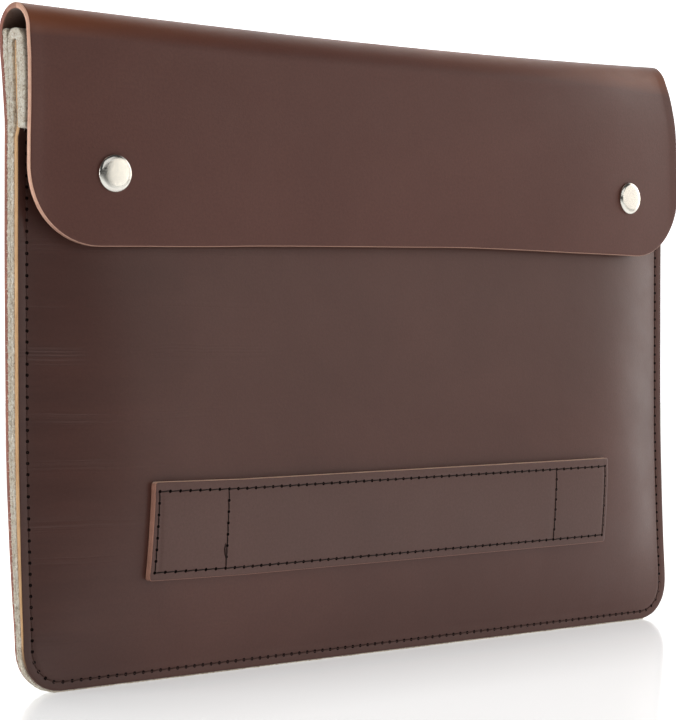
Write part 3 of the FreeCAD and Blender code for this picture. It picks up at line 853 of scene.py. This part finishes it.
def make_front_felt(m):
    """Felt up the inside of the front panel, over its top edge and down outside as a cuff."""
    x, z = felt_grid(LEATHER_TOP)
    against = front_inside(x, z) - FELT_CLEAR
    away = against - felt_thickness(x, z)
    columns = both_sides(HALF_WIDTH + FELT_OUT, coarse=5.0)
    turns = np.radians(np.linspace(15, 165, 11))
    down = np.linspace(0, LEATHER_TOP - CUFF_BOTTOM, 36)
    low_rows, high_rows = cuff_rows(columns, turns, down)
    outer = np.concatenate([place(x, away, z), high_rows])
    inner = np.concatenate([place(x, against, z), low_rows])
    over = LEATHER_TOP + np.degrees(turns) * 0.09
    run = np.concatenate([felt_rows(LEATHER_TOP), over, LEATHER_TOP + 15 + down])
    piece = shell(
        "front_felt_lining", outer, inner, np.stack(grid(columns, run), -1), [m["felt"]] * 3,
        bulge=FELT_BULGE, ragged=FELT_RAGGED)
    finish_piece(piece, "felt", "sleeve", "front_felt")
    return piece


def felt_fuzz(m, felts):
    """Loose wool fibres that stand out of the felt's cut edges at both sides and below the cuff."""
    chance = np.random.default_rng(5)
    lines = []
    for side in (-1, 1):
        for z in np.arange(6, FELT_TOP - 6, 1 / FUZZ_PER_MM):
            low = float(back_inside(side * HALF_WIDTH, z))
            high = float(front_inside(side * HALF_WIDTH, z))
            if z > CUFF_BOTTOM and chance.random() < 0.4:
                low = float(front_face(side * HALF_WIDTH, z))
                high = low + (CUFF_LEFT if side < 0 else CUFF_RIGHT)
            inset = max(CORNER - z, 0)
            edge = HALF_WIDTH - CORNER + math.sqrt(CORNER ** 2 - inset ** 2)
            forward = chance.uniform(low + 0.2, high - 0.2)
            root = place(side * (edge + 0.1), forward, z + chance.uniform(-0.5, 0.5))
            lines.append(fibre(root, (side, 0, 0), chance))
    for x in np.arange(-HALF_WIDTH + 2, HALF_WIDTH - 2, 1 / FUZZ_PER_MM):
        z = CUFF_BOTTOM - sag(x)
        root = place(x, float(front_face(x, z)) + chance.uniform(0.4, 2.6), z + 0.1)
        lines.append(fibre(root, (0, 0, -1), chance))
    fuzz = tubes("felt_fuzz", lines, FUZZ, m["fibre"], sides=3)
    finish_piece(fuzz, "felt", "sleeve")


def fibre(root, outward, chance):
    """A short curled line of points that starts at a root in the felt."""
    toward = np.array(outward) + chance.normal(0, 0.75, 3)
    toward /= np.linalg.norm(toward)
    curl = chance.normal(0, 0.5, 3)
    length = chance.uniform(0.3, 1.0)
    return np.array([root + length * t * (toward + curl * t * 0.6) for t in (0, 0.35, 0.7, 1.0)])


# ---- strap

def strap_layer(name, m, base, columns, open_side, face_slot, nodes):
    rows = near_and_far((STRAP_HIGH - STRAP_LOW) / 2, 0.7, 1.6, 6.0)
    x, z = grid(columns, np.concatenate([STRAP_LOW + rows, (STRAP_HIGH - rows[:-1])[::-1]]))
    x, z = round_corners(x, z, STRAP_HALF, STRAP_LOW, STRAP_HIGH, 1.0, top=True)
    x, z = strap_lean(x, z)
    bottom = front_face(x, z) + base
    dent = strap_dent(x, z) if face_slot == "strap" else 0.0
    outer, inner = place(x, bottom + STRAP_LAYER - dent, z), place(x, bottom, z)
    slots = [m[face_slot], m["flesh"], m["strap_edge"]]
    piece = shell(name, outer, inner, np.stack([x, z], -1), slots, {open_side}, 0.2)
    bow(piece)
    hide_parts(*nodes)


def strap_lean(x, z):
    """The strap's left end is cut a little out of square, and sits a little high."""
    near_end = np.clip((-x - 80) / (STRAP_HALF - 80), 0, 1)
    down = (STRAP_HIGH - z) / (STRAP_HIGH - STRAP_LOW)
    return x - near_end * (0.5 + STRAP_LEAN * down), z + near_end * 0.6


def strap_dent(x, z):
    """Grooves under the strap's rows of stitches."""
    rows = np.minimum(np.abs(z - STRAP_HIGH + STRAP_SEAM_TOP), np.abs(z - STRAP_LOW - STRAP_SEAM_BOTTOM))
    inner = np.abs(np.abs(x) - (STRAP_HALF - STRAP_BOX + STRAP_SEAM_INNER))
    end = np.abs(np.abs(x) - (STRAP_HALF - STRAP_SEAM_END))
    between = (z > STRAP_LOW + 2.5) & (z < STRAP_HIGH - 3.0)
    posts = np.where(between, np.minimum(inner, end), 9.0)
    return STRAP_GROOVE_DEPTH * np.exp(-(np.minimum(rows, posts) / STRAP_GROOVE_WIDTH) ** 2)


def bow(piece):
    """Bakes the piece's place into its mesh."""
    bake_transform(piece)


def make_strap(m):
    inward = near_and_far(STRAP_HALF, 0.7, 2.0, 5.0)
    layers = (
        ("strap_leather", STRAP_GAP + STRAP_LAYER + STRAP_BETWEEN, "strap", "strap_outer"),
        ("strap_backing", STRAP_GAP, "flesh", "strap_lining"))
    for side, name in ((-1, "left"), (1, "right")):
        columns = inward - STRAP_HALF if side < 0 else (STRAP_HALF - inward)[::-1]
        open_side = "right" if side < 0 else "left"
        for piece, base, face_slot, node in layers:
            middle = [f"{node}_middle"] if side < 0 else []
            nodes = [f"{node}_{name}"] + middle
            strap_layer(f"{piece}_{name}", m, base, columns, open_side, face_slot, nodes)


# ---- stitching

def along(path, pitch):
    """Evenly spaced points on a line of (x, z) points."""
    path = np.asarray(path, float)
    distance = length_along(path)
    count = int(round(distance[-1] / pitch))
    at = np.linspace(0, distance[-1], count + 1)
    return np.stack([np.interp(at, distance, path[:, 0]), np.interp(at, distance, path[:, 1])], 1)


def stitch_lines(holes, face, side, seed):
    """A thread from each hole to the next, rising out of one and sinking into the other."""
    chance = np.random.default_rng(seed)
    lines = []
    for a, b in zip(holes, holes[1:]):
        step = b - a
        across = np.array([-step[1], step[0]]) / np.linalg.norm(step)
        tilt = 0.16 + chance.normal(0, 0.05)
        high = 1 + chance.normal(0, 0.12)
        line = []
        for share_along, rise in STITCH:
            spot = a + step * share_along + across * tilt * (share_along - 0.5) * 2
            forward = face(spot[0], spot[1]) + side * (rise * high - 0.05)
            line.append(place(spot[0], forward, spot[1]))
        lines.append(np.array(line))
    return lines


def hole_rings(name, holes, face, side, material, radius):
    """Dark mouths of the needle holes, painted with the shade inside them, sunk at their middles."""
    points, faces = [], []
    count = 10
    for x, z in holes:
        base = len(points)
        points.append(place(x, face(x, z) + side * 0.01, z))
        for k in range(count):
            turn = 2 * math.pi * k / count
            px, pz = x + radius * math.cos(turn), z + radius * math.sin(turn)
            points.append(place(px, face(px, pz) + side * 0.05, pz))
        faces += [[base, base + 1 + k, base + 1 + (k + 1) % count] for k in range(count)]
    if side < 0:
        faces = [face_points[::-1] for face_points in faces]
    return new_object(name, np.array(points).reshape(-1, 3), faces, [material])


def perimeter_path():
    side, low, radius = HALF_WIDTH - SEAM_INSET, SEAM_INSET, CORNER - SEAM_INSET
    turns = np.radians(np.linspace(0, 90, 19))
    left = [(-side + radius - radius * math.cos(t), low + radius - radius * math.sin(t)) for t in turns]
    right = [(-x, z) for x, z in reversed(left)]
    return [(-side, CUFF_BOTTOM - 1.5)] + left + right + [(side, CUFF_BOTTOM - 1.5)]


def make_perimeter_thread(m):
    holes = along(perimeter_path(), STITCH_PITCH)

    def front(x, z):
        return front_face(x, z) - seam_groove(x, z)

    def back(x, z):
        return back_face(x, z) + seam_groove(x, z)

    for name, face, side, node in (("front", front, 1, "perimeter_thread_front"),
                                   ("back", back, -1, "perimeter_thread_back")):
        lines = stitch_lines(holes, face, side, 3 + side)
        thread = tubes(f"seam_thread_{name}", lines, THREAD, m["seam_thread"])
        finish_piece(thread, "thread", "sleeve", node)
        mouths = hole_rings(f"seam_holes_{name}", holes, face, side, m["hole"], HOLE)
        finish_piece(mouths, "thread", "sleeve")


def strap_top(x, z):
    return front_face(x, z) + STRAP_GAP + STRAP_BETWEEN + 2 * STRAP_LAYER - strap_dent(x, z)


def leaned(points):
    points = np.asarray(points, float)
    return np.stack(strap_lean(points[:, 0], points[:, 1]), 1)


def make_strap_thread(m):
    low, high = STRAP_LOW + STRAP_SEAM_BOTTOM, STRAP_HIGH - STRAP_SEAM_TOP
    inner, end = STRAP_HALF - STRAP_BOX + STRAP_SEAM_INNER, STRAP_HALF - STRAP_SEAM_END
    for side, name in ((-1, "left"), (1, "right")):
        box = [(inner, low), (end, low), (end, high), (inner, high), (inner, low)]
        box = [(side * x, z) for x, z in box]
        sides = [along(pair, STRAP_PITCH)[:-1] for pair in zip(box, box[1:])]
        holes = leaned(np.concatenate(sides + [np.array(box[:1])]))
        lines = stitch_lines(holes, strap_top, 1, 11 + side)
        if side < 0:
            lines.append(loose_loop(-inner, low + 3.0))
        thread = tubes(f"strap_box_thread_{name}", lines, THREAD, m["thread"])
        finish_piece(thread, "thread", "sleeve", f"strap_box_thread_{name}")
        mouths = hole_rings(f"strap_box_holes_{name}", holes[:-1], strap_top, 1, m["hole"], STRAP_HOLE)
        finish_piece(mouths, "thread", "sleeve")
        rows = [leaned(along([(side * inner, z), (0, z)], STRAP_PITCH)) for z in (low, high)]
        lines = [line for row in rows for line in stitch_lines(row, strap_top, 1, 17 + side)]
        thread = tubes(f"strap_edge_thread_{name}", lines, THREAD, m["thread"])
        if side < 0:
            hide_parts("strap_edge_thread")
        holes = np.concatenate([row[1:] for row in rows])
        mouths = hole_rings(f"strap_edge_holes_{name}", holes, strap_top, 1, m["hole"], STRAP_HOLE)
        for piece in (thread, mouths):
            bow(piece)


def loose_loop(x, z):
    """A stitch that has pulled loose and stands off the leather."""
    shape = (
        (0.0, 8.6, -0.3), (-0.7, 8.0, 0.3), (-1.3, 6.4, 0.6), (-1.5, 4.4, 0.7), (-1.1, 2.4, 0.5),
        (-0.4, 0.9, 0.2), (0.0, 0.2, -0.3))
    top = strap_top(x, z)
    return np.array([place(x + across, top + lift, z + up) for across, up, lift in shape])


# ---- snaps

def snap_axis(side):
    """Where a snap's axis meets the front of the flap, and its direction inward."""
    x, z, step = side * SNAP_X, SNAP_Z, 0.5
    along_x = (flap_face(x + step, z) - flap_face(x - step, z)) / (2 * step)
    along_z = (flap_face(x, z + step) - flap_face(x, z - step)) / (2 * step)
    inward = np.array([along_x, 1.0, along_z])
    return place(x, flap_face(x, z), z), inward / np.linalg.norm(inward)


def depth_of(side, face):
    """How far along a snap's axis a face of the leather is."""
    start, inward = snap_axis(side)
    depth = 0.0
    for _ in range(25):
        here = start + inward * depth
        depth += (FOLD_BACK_Y - face(here[0], here[2])) - here[1]
    return float(depth)


def socket_outline():
    top, mouth = LEATHER, LEATHER + SOCKET_DEEP
    return (
        (1.55, top - 0.05), (5.6, top - 0.05), (5.75, top + 0.2), (5.6, top + 0.55), (4.9, mouth - 0.6),
        (4.5, mouth - 0.15), (4.1, mouth), (3.4, mouth), (3.1, mouth - 0.2), (3.1, top + 1.8),
        (3.75, top + 1.6), (3.75, top + 0.6), (1.55, top + 0.55), (1.55, top - 0.05))


def stud_outline(seat):
    tip = LEATHER + 1.2
    return (
        (0, tip), (1.7, tip), (2.1, tip + 0.15), (2.25, tip + 0.45), (2.2, tip + 0.9), (1.85, tip + 1.3),
        (1.85, seat - 0.75), (2.6, seat - 0.68), (4.7, seat - 0.55), (5.15, seat - 0.3),
        (5.2, seat + 0.1), (1.55, seat + 0.1), (1.55, seat - 0.2), (0, seat - 0.2))


def eyelet_outline(seat):
    flange = seat + LEATHER
    return (
        (0, seat - 0.15), (1.5, seat - 0.15), (1.5, flange - 0.05), (4.3, flange - 0.05),
        (4.6, flange + 0.1), (4.5, flange + 0.35), (2.0, flange + 0.4), (1.2, flange + 0.1),
        (0, flange + 0.1))


def spring_line(start, inward):
    """The spring ring's wire, open where its two ends meet."""
    side_way = np.cross(inward, [0, 0, 1.0])
    side_way /= np.linalg.norm(side_way)
    up_way = np.cross(side_way, inward)
    middle = start + inward * (LEATHER + 1.3)
    turns = np.radians(np.linspace(8, 352, 49))
    return [middle + SPRING_RADIUS * (math.cos(t) * side_way + math.sin(t) * up_way) for t in turns]


def turned_piece(m, piece, name, outline, axis, body):
    obj = lathe(f"{piece}_{name}_metal", outline, *axis, m["nickel"])
    finish_piece(obj, "nickel", body, f"{piece}_{name}")


def make_snaps(m):
    for side, name in ((-1, "left"), (1, "right")):
        axis = snap_axis(side)
        seat = depth_of(side, front_face)
        turned_piece(m, "snap_cap", name, CAP, axis, "flap")
        turned_piece(m, "snap_socket", name, socket_outline(), axis, "flap")
        spring = tubes(f"socket_spring_{name}_wire", [spring_line(*axis)], SPRING_WIRE, m["spring"])
        finish_piece(spring, "spring_steel", "flap", f"socket_spring_{name}")
        turned_piece(m, "snap_stud", name, stud_outline(seat), axis, "sleeve")
        turned_piece(m, "stud_eyelet", name, eyelet_outline(seat), axis, "sleeve")


# ---- studio

def floor_material():
    """White floor with a painted pool of light round the sleeve, a painted contact shadow right beside it,
    and a faint reflection.
    """
    s = Shader("studio_floor")
    where = s.where()
    faint = [(0.3, (0.83, 0.86, 0.87)), (0.8, (0.87, 0.90, 0.91))]
    colour = s.ramp(s.noise(where, 3.0, 3.0), faint)
    away = s.node("ShaderNodeVectorMath", {0: where}, operation="LENGTH").outputs["Value"]
    # Painted pool of light: the floor glows, brightest near the sleeve.
    painted_light_pool = s.spread(away, 0.30, 0.9, 0.60, 0.02)
    # Painted contact shadow: less glow right beside the sleeve.
    painted_contact_shadow = s.spread(s.maths("ABSOLUTE", s.part(where, 1)), 0.0, 0.10, 0.66, 1.0)
    return s.done(
        Base_Color=colour, Roughness=0.13, Specular_IOR_Level=0.22, Emission_Color=WHITE,
        Emission_Strength=s.maths("MULTIPLY", painted_light_pool, painted_contact_shadow))


def backdrop_material():
    pale = (0.95, 0.95, 0.95, 1.0)
    return Shader("studio_backdrop").done(Base_Color=pale, Emission_Color=WHITE, Emission_Strength=1.1)


def make_stage():
    size = 9000.0
    corners = [(-size, -size, 0), (size, -size, 0), (size, size, 0), (-size, size, 0)]
    floor = new_object("studio_floor", corners, [[0, 1, 2, 3]], [floor_material()], smooth=False)
    yaw = math.radians(CAMERA_YAW)
    ahead = np.array([math.sin(yaw), math.cos(yaw), 0]) * 2600
    across = np.array([math.cos(yaw), -math.sin(yaw), 0]) * 6000
    lift = np.array([0, 0, 5000])
    corners = [ahead - across, ahead + across, ahead + across + lift, ahead - across + lift]
    backdrop = new_object("studio_backdrop", corners, [[0, 1, 2, 3]], [backdrop_material()], smooth=False)


def area_light(name, at, toward, size, power, colour=(1, 1, 1)):
    data = bpy.data.lights.new(name, "AREA")
    data.shape = "RECTANGLE"
    data.size, data.size_y = size
    data.energy = power
    data.color = colour
    lamp = bpy.data.objects.new(name, data)
    bpy.context.scene.collection.objects.link(lamp)
    lamp.location = at
    lamp.rotation_euler = (Vector(toward) - Vector(at)).to_track_quat("-Z", "Y").to_euler()
    return lamp


def make_lights():
    aim = (0.05, 0.0, 0.13)
    area_light("right_window", (1.325, -0.985, 0.60), (0.1, 0.0, 0.45), (1.37, 1.1), 5.5, (1.0, 0.95, 0.90))
    area_light("cap_card", (0.53, -1.23, 0.26), (-0.138, 0.0, 0.19), (0.42, 0.8), 1.3, (1.0, 0.97, 0.92))
    area_light("right_softbox", (1.1, -0.22, 0.45), aim, (0.5, 0.9), 2.0, (1.0, 0.92, 0.86))
    area_light("front_fill", (-0.25, -1.5, 1.1), aim, (1.6, 1.2), 5.2)
    area_light("left_fill", (-1.45, 0.42, 0.26), aim, (0.9, 0.9), 14.5)
    area_light("top_softbox", (0.0, 0.4, 1.7), aim, (1.6, 1.0), 3.3, (1.0, 0.84, 0.73))
    world_light = bpy.data.worlds.new("studio")
    world_light.use_nodes = True
    background = world_light.node_tree.nodes["Background"]
    background.inputs["Color"].default_value = WHITE
    background.inputs["Strength"].default_value = 0.05
    bpy.context.scene.world = world_light
    bpy.context.scene.view_settings.view_transform = "Standard"


def make_camera():
    yaw, pitch, roll = (math.radians(a) for a in (CAMERA_YAW, CAMERA_PITCH, CAMERA_ROLL))
    data = bpy.data.cameras.new("camera")
    data.lens = CAMERA_LENS
    data.sensor_width = 36.0
    data.clip_end = 50.0
    camera = bpy.data.objects.new("camera", data)
    bpy.context.scene.collection.objects.link(camera)
    turn = Matrix.Rotation(-yaw, 4, "Z") @ Matrix.Rotation(math.pi / 2 + pitch, 4, "X")
    at = Matrix.Translation(Vector(CAMERA_AT) * MM)
    camera.matrix_world = at @ turn @ Matrix.Rotation(roll, 4, "Z")
    bpy.context.scene.camera = camera


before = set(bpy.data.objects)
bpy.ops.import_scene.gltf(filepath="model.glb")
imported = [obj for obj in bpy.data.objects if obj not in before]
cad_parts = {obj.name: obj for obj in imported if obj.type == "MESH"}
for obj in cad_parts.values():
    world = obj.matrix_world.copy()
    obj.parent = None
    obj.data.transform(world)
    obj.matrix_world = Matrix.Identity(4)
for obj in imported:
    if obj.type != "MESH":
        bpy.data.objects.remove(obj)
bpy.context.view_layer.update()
materials = make_materials()
make_front_panel(materials)
make_back_panel(materials)
make_fold(materials)
make_flap(materials)
felt_fuzz(materials, [make_back_felt(materials), make_front_felt(materials)])
make_strap(materials)
make_perimeter_thread(materials)
make_strap_thread(materials)
make_snaps(materials)
make_stage()
make_lights()
make_camera()
